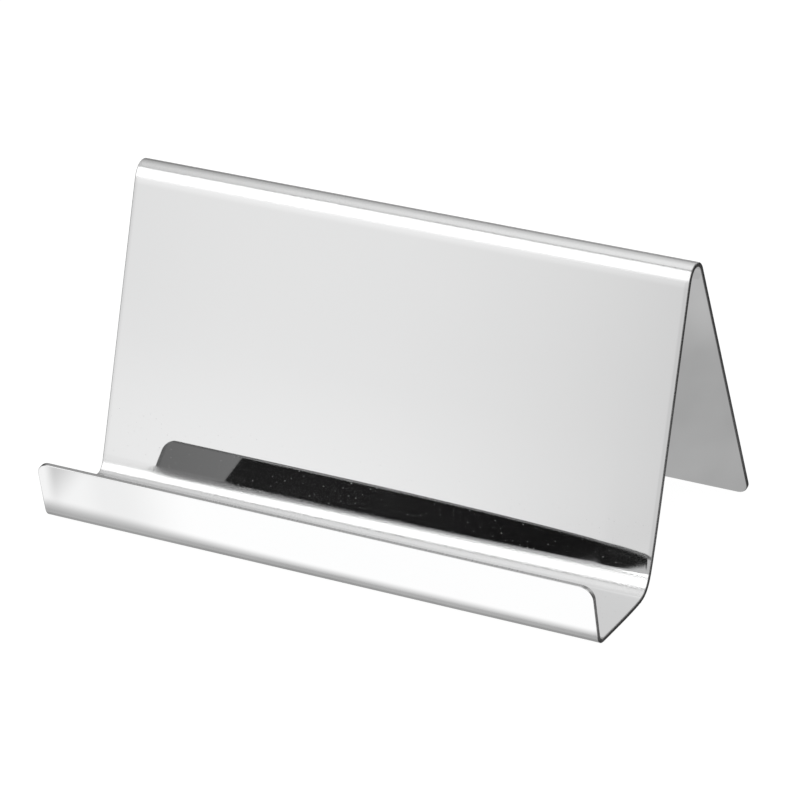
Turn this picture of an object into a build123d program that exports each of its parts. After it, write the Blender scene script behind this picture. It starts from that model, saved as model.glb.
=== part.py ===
from build123d import *
import os
from math import cos, radians, sin, tan

# Desk stand for business cards: one bent strip of bright steel sheet on two clear pads.
# X runs along the width, Y from front to back and Z up. The origin is on the desk, under
# the middle of the stand. Lengths are in millimetres and leans in degrees from upright.

# The flat strip.
sheet_width = 95.0
sheet_thickness = 0.7
corner_radius = 2.0

# The bent profile, taken along the under face between its sharp corners. The lip leans
# forward, the backrest leans back, and the rear leg spreads backwards to the desk.
lip_height = 10.0
lip_lean_angle = 6.5
tray_depth = 16.0
backrest_slant = 51.4
backrest_lean_angle = 21.5
rear_leg_lean_angle = 17.0

# The radii on the inside of each bend.
lip_bend_radius = 0.9
backrest_bend_radius = 3.9
top_fold_radius = 1.5

# The clear pads glued under the tray floor.
pad_diameter = 8.0
pad_thickness = 0.8
pad_edge_radius = 0.25
pad_end_inset = 12.0


def run_and_rise(length, lean_angle):
    """How far a leaning length goes sideways, and how far it goes up."""
    return length * sin(radians(lean_angle)), length * cos(radians(lean_angle))


def tangent_length(radius, lean_angle):
    """How much of the tray floor a bend takes, up to a wall with this lean."""
    half_turn = radians(90 - lean_angle) / 2
    return radius * tan(half_turn)


# Places along the profile, from the lip to the foot of the rear leg.
under_lip_radius = lip_bend_radius + sheet_thickness
under_backrest_radius = backrest_bend_radius + sheet_thickness
lip_run, lip_rise = run_and_rise(lip_height, lip_lean_angle)
backrest_run, backrest_rise = run_and_rise(backrest_slant, backrest_lean_angle)
apex_height = pad_thickness + backrest_rise
rear_leg_run = apex_height * tan(radians(rear_leg_lean_angle))
cut_end_run = sheet_thickness * cos(radians(rear_leg_lean_angle))
stand_depth = lip_run + tray_depth + backrest_run + rear_leg_run + cut_end_run

lip_top_y = -stand_depth / 2
lip_foot_y = lip_top_y + lip_run
heel_y = lip_foot_y + tray_depth
apex_y = heel_y + backrest_run
rear_foot_y = apex_y + rear_leg_run
print("stand depth", round(stand_depth, 2))

os.makedirs("parts", exist_ok=True)

# The folded sheet: its under face as one rounded line, thickened to one side and drawn out
# along the width. The rear leg is as long as it takes to reach the desk.
with BuildPart() as folded_sheet:
    with BuildSketch(Plane.YZ):
        with BuildLine():
            FilletPolyline(
                (lip_top_y, pad_thickness + lip_rise),
                (lip_foot_y, pad_thickness),
                (heel_y, pad_thickness),
                (apex_y, apex_height),
                (rear_foot_y, 0),
                radius=[under_lip_radius, under_backrest_radius, top_fold_radius],
            )
            offset(amount=sheet_thickness, side=Side.LEFT)
        make_face()
    extrude(amount=sheet_width / 2, both=True)
    # The strip's two cut ends are its smallest faces across the width, and their short
    # edges are the four corners to round.
    faces_across = folded_sheet.faces().filter_by(GeomType.PLANE).filter_by(Axis.X, reverse=True)
    cut_ends = faces_across.sort_by(SortBy.AREA)[:2]
    fillet(cut_ends.edges().filter_by(Axis.X, reverse=True), corner_radius)
folded_sheet.part.label = "folded_sheet"
export_step(folded_sheet.part, "parts/folded_sheet.step")

# The pads sit in the middle of the tray floor's flat stretch, one near each end.
flat_start_y = lip_foot_y + tangent_length(under_lip_radius, lip_lean_angle)
flat_end_y = heel_y - tangent_length(under_backrest_radius, backrest_lean_angle)
pad_y = (flat_start_y + flat_end_y) / 2
pad_x = sheet_width / 2 - pad_end_inset

for pad_name, side in (("left_pad", -1), ("right_pad", 1)):
    with BuildPart() as pad:
        with BuildSketch(Plane.XY):
            with Locations((side * pad_x, pad_y)):
                Circle(pad_diameter / 2)
        extrude(amount=pad_thickness)
        fillet(pad.edges().sort_by(Axis.Z)[0], pad_edge_radius)
    pad.part.label = pad_name
    export_step(pad.part, f"parts/{pad_name}.step")
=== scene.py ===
# %% [markdown]
# # A card stand folded from one strip of bright steel
# The real stand is a strip of thin stainless sheet that is bent three times. That gives a low
# lip, a tray floor, a tall backrest and a rear leg, and two clear pads sit under the tray floor.
# The packed part comes in first, as a fixed frame. Everything made below is in metres in that
# same frame, so no piece has to be placed by eye.

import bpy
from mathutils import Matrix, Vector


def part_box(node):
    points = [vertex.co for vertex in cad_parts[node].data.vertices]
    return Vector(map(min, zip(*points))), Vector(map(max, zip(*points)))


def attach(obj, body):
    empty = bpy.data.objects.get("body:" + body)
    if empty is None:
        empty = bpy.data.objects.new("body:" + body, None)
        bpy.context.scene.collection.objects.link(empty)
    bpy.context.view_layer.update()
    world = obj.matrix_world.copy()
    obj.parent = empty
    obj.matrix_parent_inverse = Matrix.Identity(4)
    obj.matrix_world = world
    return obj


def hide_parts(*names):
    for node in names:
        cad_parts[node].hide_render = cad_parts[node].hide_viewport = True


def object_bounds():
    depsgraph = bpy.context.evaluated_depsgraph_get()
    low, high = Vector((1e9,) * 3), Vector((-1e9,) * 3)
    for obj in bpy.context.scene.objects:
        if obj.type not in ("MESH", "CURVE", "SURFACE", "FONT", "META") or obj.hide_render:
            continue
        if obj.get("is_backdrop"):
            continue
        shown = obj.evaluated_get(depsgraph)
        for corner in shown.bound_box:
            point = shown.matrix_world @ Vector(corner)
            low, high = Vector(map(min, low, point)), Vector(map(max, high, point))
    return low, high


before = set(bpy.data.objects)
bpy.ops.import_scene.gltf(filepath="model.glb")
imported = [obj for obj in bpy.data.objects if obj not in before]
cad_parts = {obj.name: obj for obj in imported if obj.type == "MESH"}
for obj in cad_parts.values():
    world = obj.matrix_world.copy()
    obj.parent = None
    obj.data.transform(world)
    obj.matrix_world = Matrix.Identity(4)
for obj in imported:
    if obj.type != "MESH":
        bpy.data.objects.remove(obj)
cad_low, cad_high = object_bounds()
MM = 0.001


def box_sizes(low, high):
    """The three sizes of a box in millimetres."""
    return [round((stop - start) / MM, 2) for start, stop in zip(low, high)]


print("solid box in mm:", box_sizes(cad_low, cad_high))

# %% [markdown]
# ## Sizes
# The strip's sizes are those of the solid part, written again here because the script reads no
# other file. The profile is measured along the under face of the sheet, between the sharp corners
# where two flat stretches would meet if nothing was rounded. The lip stands about a tenth of a
# millimetre higher than in the solid, because the backrest mirrors its upper edge that high.

# %% Sizes of the strip
from math import atan2, ceil, cos, pi, radians, sin, sqrt, tan

from mathutils import Matrix, Vector

strip_thickness = 0.7 * MM
corner_radius = 2.0 * MM
lip_height = 10.0 * MM
lip_lean = radians(6.5)
tray_depth = 16.0 * MM
backrest_slant = 51.4 * MM
backrest_lean = radians(21.5)
rear_leg_lean = radians(17.0)
pad_height = 0.8 * MM

sheet_low, sheet_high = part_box("folded_sheet")
strip_width = sheet_high.x - sheet_low.x
lip_rise = 0.12 * MM
lip_foot = sheet_low.y + lip_height * sin(lip_lean)
lip_slant = lip_height + lip_rise
lip_top = Vector((0, lip_foot - lip_slant * sin(lip_lean), pad_height + lip_slant * cos(lip_lean)))
apex_height = pad_height + backrest_slant * cos(backrest_lean)
print("strip width in mm:", round(strip_width / MM, 2))

# %% [markdown]
# ## Folds
# A press brake never leaves a perfect arc. The top fold is the clearest case: the backrest first
# leans back in a long sweep, turns round a wide shoulder, and is then pressed tighter at the crown.
# The heel is tight next to the tray and eases out into the backrest. On a bright sheet those
# changes of radius are what decides how wide each highlight is. A fold here is a row of named arcs
# on the under face, each with a radius and a turn. Turns are positive where the sheet bends up,
# and a radius has the same sign as its turn. The tray floor also falls by a degree or two to the
# heel, so the top fold is moved up by about as much, and the leg keeps its foot in place.

# %% Folds as arcs on the under face
tray_fall = radians(1.6)
top_rise = 0.53 * MM
fold_height = apex_height - tray_depth * sin(tray_fall) + top_rise * cos(backrest_lean)
foot_run = apex_height * tan(rear_leg_lean) - top_rise * sin(backrest_lean)
leg_lean = atan2(foot_run, fold_height)
leg_slant = fold_height / cos(leg_lean)
top_turn = backrest_lean + leg_lean - pi

lip_ease_turn = radians(5)
heel_bend_turn = radians(42)
sweep_turn = radians(-3.5)
shoulder_turn = radians(-21.6)
settle_turn = radians(-4)
folds = {
    "Lip": {
        "Ease": (5.0 * MM, lip_ease_turn),
        "Bend": (1.65 * MM, pi / 2 - lip_lean - tray_fall - 2 * lip_ease_turn),
        "Settle": (5.0 * MM, lip_ease_turn),
    },
    "Heel": {
        "Bend": (2.7 * MM, heel_bend_turn),
        "Ease": (4.8 * MM, pi / 2 - backrest_lean + tray_fall - heel_bend_turn),
    },
    "Top": {
        "Sweep": (-20.0 * MM, sweep_turn),
        "Shoulder": (-3.3 * MM, shoulder_turn),
        "Crown": (-1.48 * MM, top_turn - sweep_turn - shoulder_turn - settle_turn),
        "Settle": (-4.3 * MM, settle_turn),
    },
}
print("arcs in each fold:", {fold_name: len(arcs) for fold_name, arcs in folds.items()})


# %% Where each fold starts and stops on the flat strip
def fold_ends(arcs):
    """How far before the sharp corner a fold starts, how far after it ends, and how long it is."""
    heading, across, up = 0.0, 0.0, 0.0
    for radius, turn in arcs:
        step, lift = radius * sin(turn), radius * (1 - cos(turn))
        across += step * cos(heading) - lift * sin(heading)
        up += step * sin(heading) + lift * cos(heading)
        heading += turn
    after = up / sin(heading)
    return across - after * cos(heading), after, sum(radius * turn for radius, turn in arcs)


corner_gaps = {"Lip": lip_slant, "Heel": tray_depth, "Top": backrest_slant + top_rise}
fold_starts, fold_stops = {}, {}
used_after = 0.0
place = 0.0
for fold_name, arcs in folds.items():
    before, after, length = fold_ends(arcs.values())
    fold_starts[fold_name] = place + corner_gaps[fold_name] - used_after - before
    fold_stops[fold_name] = fold_starts[fold_name] + length
    place, used_after = fold_stops[fold_name], after
    print(fold_name, "fold in mm:", [round(end / MM, 2) for end in (place - length, place)])
strip_length = place + leg_slant - used_after
print("flat strip length in mm:", round(strip_length / MM, 2))

# %% [markdown]
# ## Wires
# Node trees get long when every sum is a node made by hand. One small class wraps a socket, and
# adding or multiplying two of them adds the Math node that does it. The same class makes every
# other node, in geometry and in materials alike: settings first, then the values or wires.


# %% A socket that can be used in sums
class Wire:
    """One socket of a node tree, which sums written in Python can use."""

    def __init__(self, tree, socket):
        self.tree = tree
        self.socket = socket

    @classmethod
    def make(cls, tree, kind, settings=None, sockets=None):
        """Adds any node, settings first and then socket values or wires, and gives its first output."""
        node = tree.nodes.new(kind)
        for name, value in (settings or {}).items():
            if name == "stops":
                ramp = node.color_ramp
                ramp.elements.remove(ramp.elements[-1])
                ramp.elements[0].position = value[0][0]
                ramp.elements[0].color = value[0][1]
                for position, colour in value[1:]:
                    ramp.elements.new(position).color = colour
            else:
                setattr(node, name, value)
        for key, value in (sockets or {}).items():
            if isinstance(value, Wire):
                tree.links.new(value.socket, node.inputs[key])
            else:
                node.inputs[key].default_value = value
        return cls(tree, node.outputs[0]) if node.outputs else node

    def of(self, name):
        """Another output of the same node."""
        return Wire(self.tree, self.socket.node.outputs[name])

    def math(self, operation, first, *others):
        """A Math node on wires and numbers."""
        sockets = dict(enumerate((first, *others)))
        return Wire.make(self.tree, "ShaderNodeMath", {"operation": operation}, sockets)

    def __add__(self, other):
        return self.math("ADD", self, other)

    def __radd__(self, other):
        return self.math("ADD", other, self)

    def __sub__(self, other):
        return self.math("SUBTRACT", self, other)

    def __rsub__(self, other):
        return self.math("SUBTRACT", other, self)

    def __mul__(self, other):
        return self.math("MULTIPLY", self, other)

    def __rmul__(self, other):
        return self.math("MULTIPLY", other, self)

    def __truediv__(self, other):
        return self.math("DIVIDE", self, other)

    def __rtruediv__(self, other):
        return self.math("DIVIDE", other, self)

    def cos(self):
        return self.math("COSINE", self)

    def sin(self):
        return self.math("SINE", self)

    def tan(self):
        return self.math("TANGENT", self)

    def size(self):
        return self.math("ABSOLUTE", self)

    def fade(self):
        """One at zero, falling away as the wire grows."""
        return self.math("EXPONENT", self * -1)

    def between(self, low, high):
        """Zero below low, one above high, smooth in the middle."""
        settings = {"interpolation_type": "SMOOTHSTEP"}
        sockets = {"Value": self, "From Min": low, "From Max": high}
        return Wire.make(self.tree, "ShaderNodeMapRange", settings, sockets)

    def kept(self, low, high):
        """The wire, held between two limits."""
        return self.math("MINIMUM", self.math("MAXIMUM", self, low), high)


print("wires can be used in sums:", [name for name in vars(Wire) if name.startswith("__r")])

# %% [markdown]
# ## The flat blank
# The strip starts flat, as it does in the shop: cut to length, corners rounded, edges broken with a fine
# file so they don't cut a hand. It could be one quad with modifiers, but a mirror finish shows every
# facet, so the rows are set one by one: close together where the strip will be folded and where a corner
# turns, and wider on the flats. Around the rim run a few more loops that make the thin cut edge, with its
# broken corners. Each point also keeps how far the shear and the folds worked the metal there, for the
# finish to read.

# %% Rows of the blank
edge_break = 0.13 * MM
flat_step = 1.2 * MM
fold_step = radians(2.2)
longest_fold_step = 0.25 * MM
near_reach = 1.2 * MM
near_step = 0.15 * MM
eased_reach = 6 * MM
eased_step = 0.4 * MM
count_slack = 1e-6


def spread(start, stop, step):
    """Evenly spaced places after start, up to and including stop."""
    count = max(1, ceil((stop - start) / step - count_slack))
    return [start + (stop - start) * k / count for k in range(1, count + 1)]


corner_turns = [radians(turn) for turn in range(0, 91, 6)]
end_rows = [corner_radius - (corner_radius - edge_break) * cos(turn) for turn in corner_turns]
rows = list(end_rows)
for fold_name, arcs in folds.items():
    rows += spread(rows[-1], fold_starts[fold_name] - near_reach, flat_step)
    rows += spread(rows[-1], fold_starts[fold_name], near_step)
    for radius, turn in arcs.values():
        arc_step = min(abs(radius) * fold_step, longest_fold_step)
        rows += spread(rows[-1], rows[-1] + radius * turn, arc_step)
    rows += spread(rows[-1], rows[-1] + near_reach, near_step)
    rows += spread(rows[-1], rows[-1] + eased_reach, eased_step)
rows += spread(rows[-1], strip_length - end_rows[-1], flat_step)
rows += [strip_length - row for row in reversed(end_rows[:-1])]
print("blank has", len(rows), "rows")

# %% Columns of the blank
half_width = strip_width / 2
inner_half = half_width - edge_break
column_zones = ((12 * MM, 1.8 * MM), (1 * MM, 0.8 * MM), (0, 0.1 * MM))
half_columns = [0.0]
for side_gap, column_step in column_zones:
    half_columns += spread(half_columns[-1], inner_half - side_gap, column_step)
columns = [-x for x in reversed(half_columns[1:])] + half_columns
print("blank has", len(columns), "columns")


# %% Outline of the blank
def end_distance(row):
    """How far a row is from the nearer cut end of the strip."""
    return min(row, strip_length - row)


def row_half_width(row):
    """Half the width of the blank at a row, narrower where the corners are rounded."""
    short = corner_radius - min(end_distance(row), corner_radius)
    inside = corner_radius - edge_break
    return half_width - corner_radius + sqrt(max(inside * inside - short * short, 0.0))


def outward(x, row):
    """The direction straight out of the blank at a place on its rim."""
    near = end_distance(row)
    side = 1 if x > 0 else -1
    end = -1 if row < strip_length / 2 else 1
    if near >= corner_radius:
        return side, 0.0
    sideways = max(abs(x) - (half_width - corner_radius), 0.0)
    lengthways = corner_radius - near
    reach = sqrt(sideways * sideways + lengthways * lengthways)
    return side * sideways / reach, end * lengthways / reach


print("half width at the first row in mm:", round(row_half_width(rows[0]) / MM, 2))

# %% Marks that the shear and the folds leave
dull_reach = 0.45 * MM
strain_fade = 1 * MM
strain_levels = {"Lip": 0.5, "Heel": 1.0, "Top": 1.0}
sweep_length = folds["Top"]["Sweep"][0] * sweep_turn
strain_starts = dict(fold_starts, Top=fold_starts["Top"] + sweep_length)


def dull_at(row, height):
    """How dull the upper face is next to the cut end of the lip, where the shear rubbed it."""
    return max(1 - row / dull_reach, 0.0) if height else 0.0


def strain_at(row):
    """How far the metal is worked at a row: full in a fold, fading out at its ends."""
    for fold_name, level in strain_levels.items():
        outside = max(strain_starts[fold_name] - row, row - fold_stops[fold_name])
        inside = 0.5 - outside / strain_fade
        if inside > 0:
            return level * min(1.0, inside)
    return 0.0


print("rows worked by the folds:", sum(1 for row in rows if strain_at(row) > 0))

# %% The two faces of the blank
import bmesh

blank = bmesh.new()
edge_layer = blank.verts.layers.float.new("cut_edge")
end_layer = blank.verts.layers.float.new("cut_end")
rub_layer = blank.verts.layers.float.new("rubbed")
strain_layer = blank.verts.layers.float.new("fold_strain")
rub_gain = 4


def blank_point(x, row, height, on_edge, on_end, rubbed):
    """One point of the blank, with the marks that its finish reads."""
    point = blank.verts.new((x, row, height))
    point[edge_layer] = on_edge
    point[end_layer] = on_end
    point[rub_layer] = rubbed
    point[strain_layer] = strain_at(row)
    return point


face_grids = []
for height in (0.0, strip_thickness):
    grid = []
    for row in rows:
        widen = row_half_width(row) / inner_half
        dull = dull_at(row, height)
        rubbed = min(1.0, rub_gain * dull)
        grid.append([blank_point(x * widen, row, height, dull, dull, rubbed) for x in columns])
    face_grids.append(grid)
under_grid, upper_grid = face_grids
last_row, last_column = len(rows) - 1, len(columns) - 1
for i in range(last_row):
    for j in range(last_column):
        a, b, c, d = (i, j), (i, j + 1), (i + 1, j + 1), (i + 1, j)
        blank.faces.new([upper_grid[p][q] for p, q in (a, b, c, d)])
        blank.faces.new([under_grid[p][q] for p, q in (d, c, b, a)])
print("two faces of the blank have", len(blank.faces), "quads")

# %% Loops of the cut edge
rim = [(0, j) for j in range(last_column)] + [(i, last_column) for i in range(last_row)]
rim += [(last_row, j) for j in range(last_column, 0, -1)] + [(i, 0) for i in range(last_row, 0, -1)]
break_cuts = (0.0, 0.3, 0.7, 1.0, 1.0)
break_turns = [(radians(18 * k), cut) for k, cut in enumerate(break_cuts, 1)]
over_edge = [(turn, cut, True) for turn, cut in break_turns]
under_edge = [(turn, cut, False) for turn, cut in reversed(break_turns)]
rubbed_turn = radians(60)
shiny_turn = radians(80)
side_dullness = 0.6
front_shine = 0.6


def edge_marks(turn, cut, from_top, out_x, out_row):
    """How dull and how rubbed a loop of the cut edge is where it faces this way."""
    at_lip = max(-out_row, 0.0)
    rubbed = at_lip if from_top and turn < rubbed_turn else 0.0
    dull = cut + (1 - cut) * side_dullness * abs(out_x)
    if not from_top and turn < shiny_turn:
        dull *= 1 - front_shine * at_lip
    return max(dull, rubbed), rubbed


loops = [[upper_grid[i][j] for i, j in rim]]
for turn, cut, from_top in over_edge + under_edge:
    drop = edge_break * (1 - cos(turn))
    level = strip_thickness - drop if from_top else drop
    loop = []
    for i, j in rim:
        corner_x = upper_grid[i][j].co.x
        out_x, out_row = outward(corner_x, rows[i])
        x = corner_x + out_x * edge_break * sin(turn)
        row = rows[i] + out_row * edge_break * sin(turn)
        dull, rubbed = edge_marks(turn, cut, from_top, out_x, out_row)
        loop.append(blank_point(x, row, level, dull, abs(out_row), rubbed))
    loops.append(loop)
loops.append([under_grid[i][j] for i, j in rim])
print("cut edge has", len(loops), "loops of", len(rim), "points")

# %% Close the rim and keep the blank as a mesh
import bpy

for high_loop, low_loop in zip(loops, loops[1:]):
    for k in range(len(rim)):
        n = (k + 1) % len(rim)
        blank.faces.new((high_loop[k], low_loop[k], low_loop[n], high_loop[n]))
for loop in (loops[0], loops[-1]):
    for k in range(len(rim)):
        edge = blank.edges.get((loop[k], loop[(k + 1) % len(rim)]))
        edge.smooth = False
for face in blank.faces:
    face.smooth = True

blank_mesh = bpy.data.meshes.new("folded_strip")
blank.to_mesh(blank_mesh)
open_edges = sum(1 for edge in blank.edges if len(edge.link_faces) != 2)
blank.free()
print("blank has", len(blank_mesh.polygons), "faces and", open_edges, "open edges")

# %% [markdown]
# ## Bright steel
# The sheet is cold rolled and bright annealed: almost a mirror, with faint lines along the rolling
# direction and a little haze. Specks of dust gather low on the backrest, where no cloth reaches. In
# the folds the metal is stretched, so the surface there is slightly pebbled and highlights get a
# grainy border. The cut edges are sheared, dull and much darker, and the shear rubbed a fine dark
# line along the lip. One material does all of it. It reads the place on the flat strip, kept by the
# folding tree below, so that the lines follow the sheet round its folds.


# %% Helpers for finishes
def new_finish(name):
    """An empty node material, and the tree to work in."""
    finish = bpy.data.materials.new(name)
    finish.use_nodes = True
    finish.node_tree.nodes.clear()
    return finish, finish.node_tree


def scaled(place, factors):
    """A place with each of its directions stretched."""
    sockets = {0: place, 1: factors}
    return Wire.make(place.tree, "ShaderNodeVectorMath", {"operation": "MULTIPLY"}, sockets)


def noise(place, scale, detail, roughness):
    """Soft noise from zero to one."""
    sockets = {"Vector": place, "Scale": scale, "Detail": detail, "Roughness": roughness}
    return Wire.make(place.tree, "ShaderNodeTexNoise", {"noise_dimensions": "3D"}, sockets)


def mixed(first, second, share):
    """Two colours mixed by a wire."""
    tree = share.tree
    node = Wire.make(tree, "ShaderNodeMix", {"data_type": "RGBA"}, {"Factor": share}).socket.node
    for socket, value in ((node.inputs[6], first), (node.inputs[7], second)):
        if isinstance(value, Wire):
            tree.links.new(value.socket, socket)
        else:
            socket.default_value = value
    return Wire(tree, node.outputs[2])


def strip_mark(tree, name):
    """One of the marks that the points of the strip keep."""
    return Wire.make(tree, "ShaderNodeAttribute", {"attribute_name": name}).of("Fac")


print("helpers:", [helper.__name__ for helper in (new_finish, scaled, noise, mixed, strip_mark)])

# %% Patterns of the steel
steel, tree = new_finish("bright_steel")
strip_place = Wire.make(tree, "ShaderNodeAttribute", {"attribute_name": "strip_place"}).of("Vector")
on_edge = strip_mark(tree, "cut_edge").kept(0, 1)
on_end = strip_mark(tree, "cut_end").kept(0, 1)
rubbed_share = strip_mark(tree, "rubbed").kept(0, 1)
strain = strip_mark(tree, "fold_strain")

rolling = noise(scaled(strip_place, (30.0, 5200.0, 300.0)), 1.0, 3.0, 0.6)
haze = noise(strip_place, 45.0, 3.0, 0.55)
pebble = noise(strip_place, 4200.0, 2.0, 0.5)
shear = noise(scaled(strip_place, (5200.0, 5200.0, 700.0)), 1.0, 3.0, 0.6)
print("steel patterns take", len(tree.nodes), "nodes")

# %% Dust low on the backrest
speck_cells = Wire.make(
    tree,
    "ShaderNodeTexVoronoi",
    {"feature": "F1", "voronoi_dimensions": "2D"},
    {"Vector": strip_place, "Scale": 880.0},
)
speck_chance = Wire.make(tree, "ShaderNodeSeparateColor", {}, {"Color": speck_cells.of("Color")})
bare_chance = 0.3
speck_spread = 0.074
speck_border = 0.01
speck_size = (speck_chance - bare_chance).kept(0, 1) * speck_spread

dust_stop = fold_stops["Heel"] + 6 * MM
dust_fade = 4 * MM
strip_row = Wire.make(tree, "ShaderNodeSeparateXYZ", {}, {"Vector": strip_place}).of("Y")
past_dust = strip_row.between(dust_stop, dust_stop + dust_fade)
dusty = strip_row.between(fold_starts["Heel"], fold_stops["Heel"]) * (1 - past_dust)
speck = (speck_size - speck_cells).between(0.0, speck_border) * (1 - on_edge) * dusty
print("dust ends", round((dust_stop + dust_fade) / MM, 1), "mm along the strip")

# %% Colour and shine of the steel
face_colour = mixed((0.743, 0.745, 0.747, 1), (0.757, 0.757, 0.757, 1), haze)
side_colour = mixed((0.17, 0.17, 0.172, 1), (0.39, 0.387, 0.383, 1), shear.between(0.3, 0.7))
end_colour = mixed((0.44, 0.44, 0.44, 1), (0.52, 0.52, 0.52, 1), shear)
edge_colour = mixed(mixed(side_colour, end_colour, on_end), (0.02, 0.02, 0.02, 1), 0.72 * rubbed_share)
bare_colour = mixed(face_colour, edge_colour, on_edge)
steel_colour = mixed(bare_colour, (0.80, 0.80, 0.795, 1), speck)

face_roughness = 0.018 + 0.02 * haze.between(0.35, 0.75) + 0.012 * rolling.between(0.45, 0.75)
fold_roughness = face_roughness + 0.14 * strain
edge_roughness = 0.36 + 0.16 * shear - 0.16 * on_end
steel_roughness = fold_roughness + on_edge * (edge_roughness - fold_roughness)
steel_roughness = steel_roughness + speck * (0.8 - steel_roughness)

relief = 0.02 * rolling + strain * (1 - on_edge) * 9.0 * pebble + on_edge * 2.5 * shear
relief_sockets = {"Strength": 1.0, "Distance": 2.0e-6, "Height": relief}
steel_shader = Wire.make(tree, "ShaderNodeBsdfPrincipled", {}, {
    "Base Color": steel_colour,
    "Metallic": 1 - speck,
    "Roughness": steel_roughness,
    "Normal": Wire.make(tree, "ShaderNodeBump", {}, relief_sockets),
})
Wire.make(tree, "ShaderNodeOutputMaterial", {}, {"Surface": steel_shader})
print("steel finish has", len(tree.nodes), "nodes")

# %% [markdown]
# ## Folding
# The folding is a rule, so a node tree does it. One arc of a fold takes every point of the strip,
# sees how far into the arc it is, and swings it round the arc's centre. Points before the arc
# stay, and points past it swing as one rigid piece. The folds are taken from the far end back
# to the lip, because then a later stretch is still flat when its own fold comes.
# The heel was not pressed evenly: it is tight at the left end and opens towards the right. Towards
# the right the backrest also swells a little above it, and the end of the sheet curls up. The shear
# rolled both sides over by a hair. A mirror shows all of this, so the tree has inputs for it. Where
# the heel opens, it uses up less of the strip, and the backrest takes up that slack.


# %% The tree of one arc
def new_tree(name, inputs, outputs):
    """A geometry node tree with named sockets, and wires for its inputs."""
    made = bpy.data.node_groups.new(name, "GeometryNodeTree")
    for socket_name, kind in inputs:
        made.interface.new_socket(socket_name, in_out="INPUT", socket_type="NodeSocket" + kind)
    for socket_name, kind in outputs:
        made.interface.new_socket(socket_name, in_out="OUTPUT", socket_type="NodeSocket" + kind)
    given = Wire.make(made, "NodeGroupInput")
    return made, {socket_name: given.of(socket_name) for socket_name, _ in inputs}


arc_inputs = [(name, "Float") for name in ("Along", "Ahead", "Above", "Start", "Radius", "Turn")]
arc_tree, given = new_tree("press_arc", arc_inputs, [("Ahead", "Float"), ("Above", "Float")])
into = (given["Along"] - given["Start"]).kept(0, given["Radius"] * given["Turn"])
angle = into / given["Radius"]
past = given["Ahead"] - given["Start"] - into
lift = given["Above"] - given["Radius"]
swung_ahead = given["Start"] + past * angle.cos() - lift * angle.sin()
swung_above = given["Radius"] + past * angle.sin() + lift * angle.cos()
Wire.make(arc_tree, "NodeGroupOutput", {}, {"Ahead": swung_ahead, "Above": swung_above})
print("one arc takes", len(arc_tree.nodes), "nodes")

# %% Sizes of the unevenness
uneven_sizes = {
    "Heel Opening": 1.9 * MM,
    "Heel Slack Length": 8.0 * MM,
    "Heel Swell": 0.222 * MM,
    "Swell Start": 0.4,
    "Swell Stop": 0.916,
    "Swell Reach": 6.0 * MM,
    "Heel Curl": 0.16 * MM,
    "Curl Reach": 2.5 * MM,
    "Curl Fade": 5.0 * MM,
    "Tray Reach": 2.8 * MM,
    "Side Roll": 0.015 * MM,
    "Roll Width": 0.8 * MM,
    "Ripple Height": 0.004 * MM,
    "Ripple Length": 34 * MM,
    "Ripple Seed": 4.0,
}
print("sizes of the unevenness:", len(uneven_sizes))

# %% The inputs of the folding tree
strip_inputs = [("Strip", "Geometry"), ("Half Width", "Float"), ("Lip Tilt", "Float")]
strip_inputs.append(("Lip Top", "Vector"))
for fold_name, arcs in folds.items():
    strip_inputs.append((fold_name + " Start", "Float"))
    for arc_name in arcs:
        strip_inputs.append((fold_name + " " + arc_name + " Radius", "Float"))
        strip_inputs.append((fold_name + " " + arc_name + " Turn", "Float"))
strip_inputs += [(size_name, "Float") for size_name in uneven_sizes]
strip_inputs.append(("Finish", "Material"))
strip_tree, given = new_tree("fold_strip", strip_inputs, [("Strip", "Geometry")])

flat = Wire.make(strip_tree, "GeometryNodeInputPosition")
kept_flat = Wire.make(
    strip_tree,
    "GeometryNodeStoreNamedAttribute",
    {"data_type": "FLOAT_VECTOR", "domain": "POINT"},
    {"Geometry": given["Strip"], "Name": "strip_place", "Value": flat},
)
across = Wire.make(strip_tree, "ShaderNodeSeparateXYZ", {}, {"Vector": flat})
along, height = across.of("Y"), across.of("Z")
rightness = (across / given["Half Width"] + 1) * 0.5
print("folding tree has", len(strip_inputs), "inputs")

# %% Swell and curl next to the heel
bend_length = given["Heel Bend Radius"] * given["Heel Bend Turn"]
ease_length = given["Heel Ease Radius"] * given["Heel Ease Turn"]
heel_stop = given["Heel Start"] + (bend_length + ease_length)
past_heel = (along - heel_stop).kept(0, 1)
before_heel = (given["Heel Start"] - along).kept(0, 1) / given["Tray Reach"]
side_distance = given["Half Width"] - across.size()

swell_span = given["Swell Stop"] - given["Swell Start"]
swell_share = (rightness - given["Swell Start"]).kept(0, swell_span) / swell_span
swell_fade = (past_heel / given["Swell Reach"] + before_heel).fade()
swell = given["Heel Swell"] * swell_share * swell_share * swell_fade

left_curl = 0.2
end_fade = (side_distance / given["Curl Fade"]).fade()
curl = given["Heel Curl"] * end_fade * (left_curl + (1 - left_curl) * rightness)
curl = curl * (past_heel / given["Curl Reach"] + before_heel).fade()
print("swell and curl take", len(strip_tree.nodes), "nodes")

# %% Rolled sides and ripple
off_side = 1 - (side_distance / given["Roll Width"]).kept(0, 1)
side_roll = given["Side Roll"] * off_side * off_side
ripple = Wire.make(strip_tree, "ShaderNodeTexNoise", {"noise_dimensions": "4D"}, {
    "Vector": Wire.make(strip_tree, "ShaderNodeCombineXYZ", {}, {"X": across, "Y": along}),
    "W": given["Ripple Seed"],
    "Scale": 1 / given["Ripple Length"],
    "Detail": 1.0,
})
lifted = height + swell + curl - side_roll + (ripple - 0.5) * given["Ripple Height"]
print("unevenness takes", len(strip_tree.nodes), "nodes")

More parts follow.
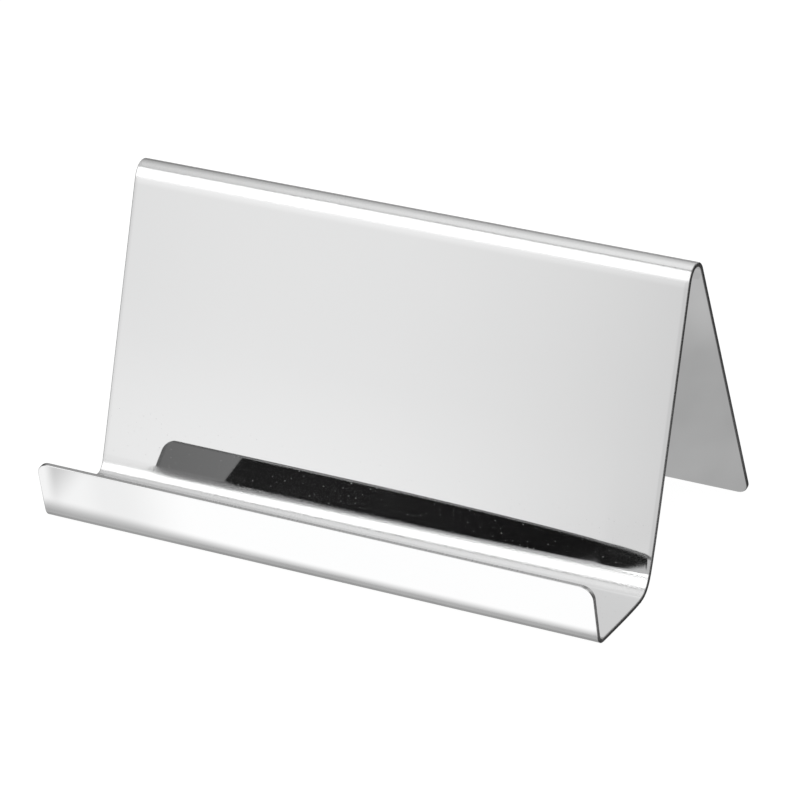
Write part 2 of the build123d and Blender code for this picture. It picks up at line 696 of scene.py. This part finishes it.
# %% Fold after fold, from the foot of the leg to the lip
heel_turn = given["Heel Bend Turn"] + given["Heel Ease Turn"]
half_tangent = (heel_turn / 2).tan()
heel_gain = given["Heel Opening"] * (rightness - 0.5)
slack_gap = 1 * MM
ahead, above = along, lifted
for fold_name, arcs in reversed(list(folds.items())):
    start = given[fold_name + " Start"]
    gain = 0.0
    if fold_name == "Heel":
        gain = heel_gain
        start = start - heel_gain * half_tangent
        slack = heel_gain * (2 * half_tangent - heel_turn)
        taken_up = (along - heel_stop - slack_gap).between(0.0, given["Heel Slack Length"])
        ahead = ahead - slack * taken_up
    chain = []
    for arc_name in arcs:
        radius = given[fold_name + " " + arc_name + " Radius"] + gain
        turn = given[fold_name + " " + arc_name + " Turn"]
        chain.append({"Start": start, "Radius": radius, "Turn": turn})
        start = start + radius * turn
    for arc in reversed(chain):
        sockets = {"Along": along, "Ahead": ahead, "Above": above, **arc}
        ahead = Wire.make(strip_tree, "GeometryNodeGroup", {"node_tree": arc_tree}, sockets)
        above = ahead.of("Above")
print("folds take", len(strip_tree.nodes), "nodes")

# %% Stand the folded strip on its place
tilt_cos, tilt_sin = given["Lip Tilt"].cos(), given["Lip Tilt"].sin()
stood = Wire.make(strip_tree, "ShaderNodeCombineXYZ", {}, {
    "X": across,
    "Y": ahead * tilt_cos - above * tilt_sin,
    "Z": ahead * tilt_sin + above * tilt_cos,
})
place_sockets = {0: stood, 1: given["Lip Top"]}
placed = Wire.make(strip_tree, "ShaderNodeVectorMath", {"operation": "ADD"}, place_sockets)
folded = Wire.make(strip_tree, "GeometryNodeSetPosition", {}, {"Geometry": kept_flat, "Position": placed})
real = Wire.make(strip_tree, "GeometryNodeRealizeInstances", {}, {"Geometry": folded})
finish_sockets = {"Geometry": real, "Material": given["Finish"]}
finished = Wire.make(strip_tree, "GeometryNodeSetMaterial", {}, finish_sockets)
Wire.make(strip_tree, "NodeGroupOutput", {}, {"Strip": finished})
print("folding tree has", len(strip_tree.nodes), "nodes")

# %% [markdown]
# The tree's inputs are set by their identifiers before anything is evaluated. Then the result is
# read back as a plain mesh, and the modifier goes, so that the piece is nothing but its own faces.

# %% Settings of the folding tree
settings = {
    "Half Width": half_width,
    "Lip Tilt": lip_lean - pi / 2,
    "Lip Top": lip_top,
    "Finish": steel,
    **uneven_sizes,
}
for fold_name, arcs in folds.items():
    settings[fold_name + " Start"] = fold_starts[fold_name]
    for arc_name, (radius, turn) in arcs.items():
        settings[fold_name + " " + arc_name + " Radius"] = radius
        settings[fold_name + " " + arc_name + " Turn"] = turn
print("settings for", len(settings), "of", len(strip_inputs), "inputs")


# %% Fold the strip
def made_plain(piece, tree, values):
    """Runs a tree on a piece and leaves its result as a plain mesh."""
    modifier = piece.modifiers.new(tree.name, "NODES")
    modifier.node_group = tree
    for socket in tree.interface.items_tree:
        if socket.in_out == "INPUT" and socket.name in values:
            modifier[socket.identifier] = values[socket.name]
    view = bpy.context.evaluated_depsgraph_get()
    shown = piece.evaluated_get(view)
    plain = bpy.data.meshes.new_from_object(shown, preserve_all_data_layers=True, depsgraph=view)
    piece.modifiers.clear()
    piece.data = plain
    plain.name = piece.name


folded_strip = bpy.data.objects.new("folded_strip", blank_mesh)
bpy.context.scene.collection.objects.link(folded_strip)
made_plain(folded_strip, strip_tree, settings)
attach(folded_strip, "root")
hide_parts("folded_sheet")

strip_points = [point.co for point in folded_strip.data.vertices]
strip_low = [min(point[axis] for point in strip_points) for axis in range(3)]
strip_high = [max(point[axis] for point in strip_points) for axis in range(3)]
print("strip box in mm:", box_sizes(strip_low, strip_high))
print("solid sheet in mm:", box_sizes(sheet_low, sheet_high))

# %% [markdown]
# ## Clear pads
# Two small clear pads of soft plastic are stuck under the tray floor, so the stand doesn't slide or
# scratch a desk. Each was poured as a drop, so its rim is round and its face is slightly crowned.
# A turned outline gives that shape best: a few points from the middle of the face out to the rim,
# spun once round. The tray floor falls a little, so each pad is then pressed thinner to the back.

# %% Pad finish
pad_finish, tree = new_finish("clear_pad")
pad_place = Wire.make(tree, "ShaderNodeTexCoord").of("Object")
cloud = noise(pad_place, 900.0, 3.0, 0.6)
bubble_sockets = {"Vector": pad_place, "Scale": 1400.0}
bubbles = Wire.make(tree, "ShaderNodeTexVoronoi", {"feature": "F1"}, bubble_sockets)
bubble_size = 0.16
bubble_border = 0.05
bubble = (bubble_size - bubbles).between(0.0, bubble_border)
pad_colour = mixed((0.80, 0.84, 0.86, 1), (0.90, 0.92, 0.93, 1), cloud)
pad_colour = mixed(pad_colour, (0.97, 0.98, 0.98, 1), bubble)
pad_relief = {"Strength": 0.6, "Distance": 1.0e-5, "Height": cloud + 0.4 * bubble}
pad_shader = Wire.make(tree, "ShaderNodeBsdfPrincipled", {}, {
    "Base Color": pad_colour,
    "Roughness": 0.16 + 0.14 * cloud,
    "Normal": Wire.make(tree, "ShaderNodeBump", {}, pad_relief),
    "IOR": 1.49,
    "Transmission Weight": 0.82,
})
Wire.make(tree, "ShaderNodeOutputMaterial", {}, {"Surface": pad_shader})
print("pad finish has", len(tree.nodes), "nodes")

# %% Outline of a pad
pad_crown = 0.06 * MM
pad_rim = 0.3 * MM
rim_rise = 0.6 * pad_crown
glue_height = 0.06 * MM
glue_inset = 0.05 * MM
shoulder_height = 0.06 * MM
shoulder_inset = 0.02 * MM
outline_steps = 8


def tray_clearance(y):
    """How high the under face of the falling tray floor is above the desk."""
    return pad_height - (y - lip_foot) * tan(tray_fall)


def pad_outline(radius, height):
    """Half the section of a pad, from the middle of its lower face out and up to the glue."""
    points = [(0.0, 0.0)]
    for k in range(1, outline_steps - 1):
        share = k / outline_steps
        points.append((radius * share, pad_crown * share ** 4))
    for k in range(outline_steps + 1):
        turn = radians(90 * k / outline_steps)
        points.append((radius - pad_rim + pad_rim * sin(turn), rim_rise + pad_rim * (1 - cos(turn))))
    glue_line = height - glue_height
    points += [(radius, glue_line - shoulder_height), (radius - shoulder_inset, glue_line)]
    points += [(radius - glue_inset, glue_line), (radius - glue_inset, height), (0.0, height)]
    return points


print("pad outline has", len(pad_outline(4 * MM, pad_height)), "points")

# %% Turn the two pads
pad_turns = 72
weld_distance = 1e-7
upright = (0, 0, 1)
for pad_name in ("left_pad", "right_pad"):
    low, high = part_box(pad_name)
    middle = (low + high) / 2
    outline = pad_outline((high.x - low.x) / 2, high.z - low.z)
    turning = bmesh.new()
    points = [turning.verts.new((middle.x + out, middle.y, low.z + up)) for out, up in outline]
    edges = [turning.edges.new(pair) for pair in zip(points, points[1:])]
    drawn = points + edges
    bmesh.ops.spin(turning, geom=drawn, cent=middle, axis=upright, angle=2 * pi, steps=pad_turns)
    bmesh.ops.remove_doubles(turning, verts=turning.verts, dist=weld_distance)
    bmesh.ops.recalc_face_normals(turning, faces=turning.faces)
    for point in turning.verts:
        point.co.z *= tray_clearance(point.co.y) / pad_height
    for face in turning.faces:
        face.smooth = True
    pad_mesh = bpy.data.meshes.new(pad_name + "_clear")
    turning.to_mesh(pad_mesh)
    turning.free()
    pad = bpy.data.objects.new(pad_name + "_clear", pad_mesh)
    bpy.context.scene.collection.objects.link(pad)
    pad.data.materials.append(pad_finish)
    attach(pad, "root")
    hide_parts(pad_name)
    print(pad.name, "has", len(pad_mesh.polygons), "faces")

# %% [markdown]
# ## Floor and light
# Bright steel shows only what is around it, so the studio matters as much as the metal. The stand is
# shown on a plain white floor with almost no shadow, while the steel mirrors a table that is bright in
# front, darker under the stand and dark at its two sides. So there are two sheets: a pale floor that only
# the camera sees, and just below it the table that the steel sees. The table takes no light and casts no
# shadow. It glows, and its glow is painted light: a lit table, with a painted shadow of the stand under
# it and painted shade where the lip's left end mirrors it. Around them stands a soft tent, drawn as one
# scale of brightness from the front horizon over the top to the back: a bright front panel, a grey roof,
# and between the two a narrow dark slit. The slit is what the lower part of the backrest mirrors by way
# of the lip, and it also draws a thin line along both folds. The middle of the tent is darker, so that
# the steel stands out from the floor in a view straight from the front or the back.


# %% Flat sheets for the stage
stage_half = 1.6


def stage_sheet(name, height, finish):
    """A flat sheet of the studio, which is no part of the stand."""
    around = ((-1, -1), (1, -1), (1, 1), (-1, 1))
    mesh = bpy.data.meshes.new(name)
    mesh.from_pydata([(x * stage_half, y * stage_half, height) for x, y in around], [], [(0, 1, 2, 3)])
    mesh.materials.append(finish)
    sheet = bpy.data.objects.new(name, mesh)
    bpy.context.scene.collection.objects.link(sheet)
    sheet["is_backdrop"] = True
    return sheet


floor_finish, tree = new_finish("pale_floor")
floor_grain = noise(Wire.make(tree, "ShaderNodeTexCoord").of("Object"), 60.0, 4.0, 0.5)
floor_shader = Wire.make(tree, "ShaderNodeBsdfPrincipled", {}, {
    "Base Color": mixed((0.11, 0.11, 0.11, 1), (0.12, 0.12, 0.12, 1), floor_grain),
    "Roughness": 0.75 + 0.1 * floor_grain,
    "Specular IOR Level": 0.0,
    "Emission Color": (0.985, 0.985, 0.985, 1),
    "Emission Strength": 1.0,
})
Wire.make(tree, "ShaderNodeOutputMaterial", {}, {"Surface": floor_shader})
floor = stage_sheet("pale_floor", 0.0, floor_finish)
floor.visible_glossy = False
floor.visible_diffuse = False
floor.visible_shadow = False
print("floor is", 2 * stage_half, "m across")

# %% Front of the table that the steel sees
# The table takes no light. Its glow is painted light: bright in front as a lit table would be, with the
# stand's shadow and some shade painted in as a lower glow.
table_finish, tree = new_finish("bright_table")
table_place = Wire.make(tree, "ShaderNodeTexCoord").of("Object")
table_x = Wire.make(tree, "ShaderNodeSeparateXYZ", {}, {"Vector": table_place})
table_y = table_x.of("Y")
front_line = -0.0268
to_left = 1 - table_x.between(-0.055, 0.0)
# in_front is the soft border at the lip's foot where the lit front gives way to the stand's painted
# shadow, softer towards the left.
in_front = ((front_line - table_y) / (0.0017 + 0.0013 * to_left)).between(0.0, 1.0)
not_right = 1 - table_x.between(0.0485, 0.0545)

# Painted shade: the front glow falls off to the left, with a darker band by the left end of the stand.
# The lip's left end mirrors both as darker shading.
left_place = table_x - 0.75 * (table_y + 0.025)
painted_left_shade = 0.175 * (1 - left_place.between(-0.034, -0.020))
painted_left_shade = painted_left_shade - 0.06 * (1 - left_place.between(-0.041, -0.036))
near_left_end = 1 - (table_x + 0.0540).size().between(0.0005, 0.0075)
painted_left_end_shade = near_left_end * left_place.between(-0.0474, -0.0450)
far_left = 1 - table_x.between(-0.090, -0.062)
front_level = (1.235 - painted_left_shade) * not_right * (1 - 0.36 * painted_left_end_shade) * (1 - 0.6 * far_left)
print("front of the table takes", len(tree.nodes), "nodes")

# %% Table under and beside the stand, with the stand's painted shadow
# Painted shadow: the table takes no shadow, so the shade of the stand on it is painted as a lower glow
# behind the lip's foot, under the tray and in the tent, in steps with a little noise.
painted_shadow_steps = (
    (-0.14, -0.0257, -0.0250),
    (0.20, -0.022, -0.016),
    (-0.12, -0.005, 0.006),
    (0.03, 0.012, 0.020),
)
painted_shadow_level = 0.46
for change, start, stop in painted_shadow_steps:
    painted_shadow_level = painted_shadow_level + change * table_y.between(start, stop)
painted_shadow_level = painted_shadow_level + 0.13 * (noise(table_place, 95.0, 2.0, 0.5) - 0.5)
painted_shadow_level = painted_shadow_level * (1 - table_x.between(0.0462, 0.0480)) * table_x.between(-0.0545, -0.0485)
right_level = 0.25 * (1 - table_y.between(0.03, 0.055)) * table_x.between(0.049, 0.060) * (1 - in_front)
lip_side = 0.35 * table_x.between(0.0495, 0.0520) * (1 - table_x.between(0.058, 0.064))
lip_side = lip_side * table_y.between(-0.030, -0.026) * (1 - table_y.between(-0.012, -0.007))
table_level = 0.08 + in_front * front_level + (1 - in_front) * painted_shadow_level + right_level + lip_side

glow_sockets = {channel: table_level for channel in ("Red", "Green", "Blue")}
glow_colour = Wire.make(tree, "ShaderNodeCombineColor", {}, glow_sockets)
glow = Wire.make(tree, "ShaderNodeEmission", {}, {"Color": glow_colour, "Strength": 1.0})
Wire.make(tree, "ShaderNodeOutputMaterial", {}, {"Surface": glow})
table_drop = 0.05 * MM
table = stage_sheet("bright_table", -table_drop, table_finish)
table.visible_camera = False
table.visible_shadow = False
print("table lies", round(table_drop / MM, 2), "mm below the floor")

# %% Brightness of the tent from front to back
tent_levels = [
    (0, 1.12), (8, 1.10), (10, 1.085), (11.5, 1.01), (13.8, 1.005), (15.2, 1.055), (17, 1.10),
    (18, 1.155), (19, 1.23), (20, 1.30), (21, 1.5), (24, 1.75), (66, 1.75), (67, 1.07), (90, 1.1),
    (98, 1.12), (113, 1.02), (124, 0.88), (137, 0.77), (146, 0.70), (151, 0.66), (154, 0.52),
    (157, 0.31), (160, 0.33), (165, 0.45), (180, 0.45),
]
level_top = 2.0
half_round = 180
world = bpy.data.worlds.new("light_tent")
world.use_nodes = True
bpy.context.scene.world = world
tree = world.node_tree
tree.nodes.clear()
toward = Wire.make(tree, "ShaderNodeTexCoord").of("Generated")
toward_x = Wire.make(tree, "ShaderNodeSeparateXYZ", {}, {"Vector": toward})
over_angle = toward_x.math("ARCTAN2", toward_x.of("Z"), 0 - toward_x.of("Y")) * (1 / pi)
stops = [(degrees / half_round, (level / level_top,) * 3 + (1,)) for degrees, level in tent_levels]
tent_level = Wire.make(tree, "ShaderNodeValToRGB", {"stops": stops}, {"Fac": over_angle})
print("light tent has", len(tent_levels), "levels from front to back")


# %% Slit and sides of the tent
def beyond(over, low, high):
    """Zero before one angle over the stand and one after another, both in degrees."""
    return over.between(low / half_round, high / half_round)


slit_opening = 3.9 / half_round
slit_share = toward_x.between(-0.446, -0.424) * (1 - toward_x.between(-0.4155, -0.4068))
slit_top = over_angle - slit_share * slit_opening
slit = beyond(over_angle, 64.2, 64.6) * (1 - beyond(slit_top, 67.8, 70.2))
slit = slit * toward_x.between(-0.535, -0.515)

from_middle = toward_x + 0.483
panel_side = (1.013 - 30 * from_middle * from_middle).kept(0.75, 1.02)
roof_side = 0.58 + 0.40 * toward_x.between(-0.530, -0.465)
in_roof = beyond(over_angle, 66, 67)
dark_sides = 1 - 0.88 * toward_x.size().between(0.62, 0.80)
open_back = (toward_x + 0.458).size().between(0.16, 0.34) * beyond(over_angle, 140, 152)
calm_middle = 1 - (0.42 + 0.9 * toward_x) * (1 - toward_x.size().between(0.14, 0.36))
tent_side = (panel_side + in_roof * (roof_side - panel_side)) * calm_middle
tent_light = tent_level * tent_side * dark_sides * (1 + 1.7 * open_back) * level_top
tent_light = tent_light * (1 - 0.985 * slit)
tent_shader = Wire.make(tree, "ShaderNodeBackground", {}, {"Color": tent_light, "Strength": 1.0})
Wire.make(tree, "ShaderNodeOutputWorld", {}, {"Surface": tent_shader})
print("light tent has", len(tree.nodes), "nodes")

# %% [markdown]
# ## Camera
# The camera stands in front, to the right and above, far enough away for the mild perspective of a
# product picture. Its three directions were worked out from the straight edges of the stand. Light
# may bounce often enough here for the lip and the backrest to mirror each other.

# %% Camera
camera_place = Vector((314.859, -514.601, 339.805)) * MM
camera_right = Vector((0.86955, 0.48995, -0.06185))
camera_up = Vector((-0.18356, 0.43693, 0.88056))
camera_back = camera_right.cross(camera_up)
camera = bpy.data.objects.new("camera", bpy.data.cameras.new("camera"))
bpy.context.scene.collection.objects.link(camera)
camera.data.sensor_width = 36.0
camera.data.lens = 204.42
camera.data.clip_start = 0.01
camera.data.clip_end = 20.0
turned = Matrix((camera_right, camera_up, camera_back)).transposed().to_4x4()
camera.matrix_world = Matrix.Translation(camera_place) @ turned
scene = bpy.context.scene
scene.camera = camera
scene.view_settings.view_transform = "Standard"
scene.cycles.max_bounces = 16
scene.cycles.glossy_bounces = 12
scene.cycles.caustics_reflective = False
scene.cycles.caustics_refractive = False
print("camera is", round(camera_place.length, 3), "m from the origin")

# %% [markdown] ## Shown box The box of the dressed part is printed, like the box of the solids at the start, so the two can be compared.

shown_low, shown_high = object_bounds()
print("shown box in mm:", box_sizes(shown_low, shown_high))
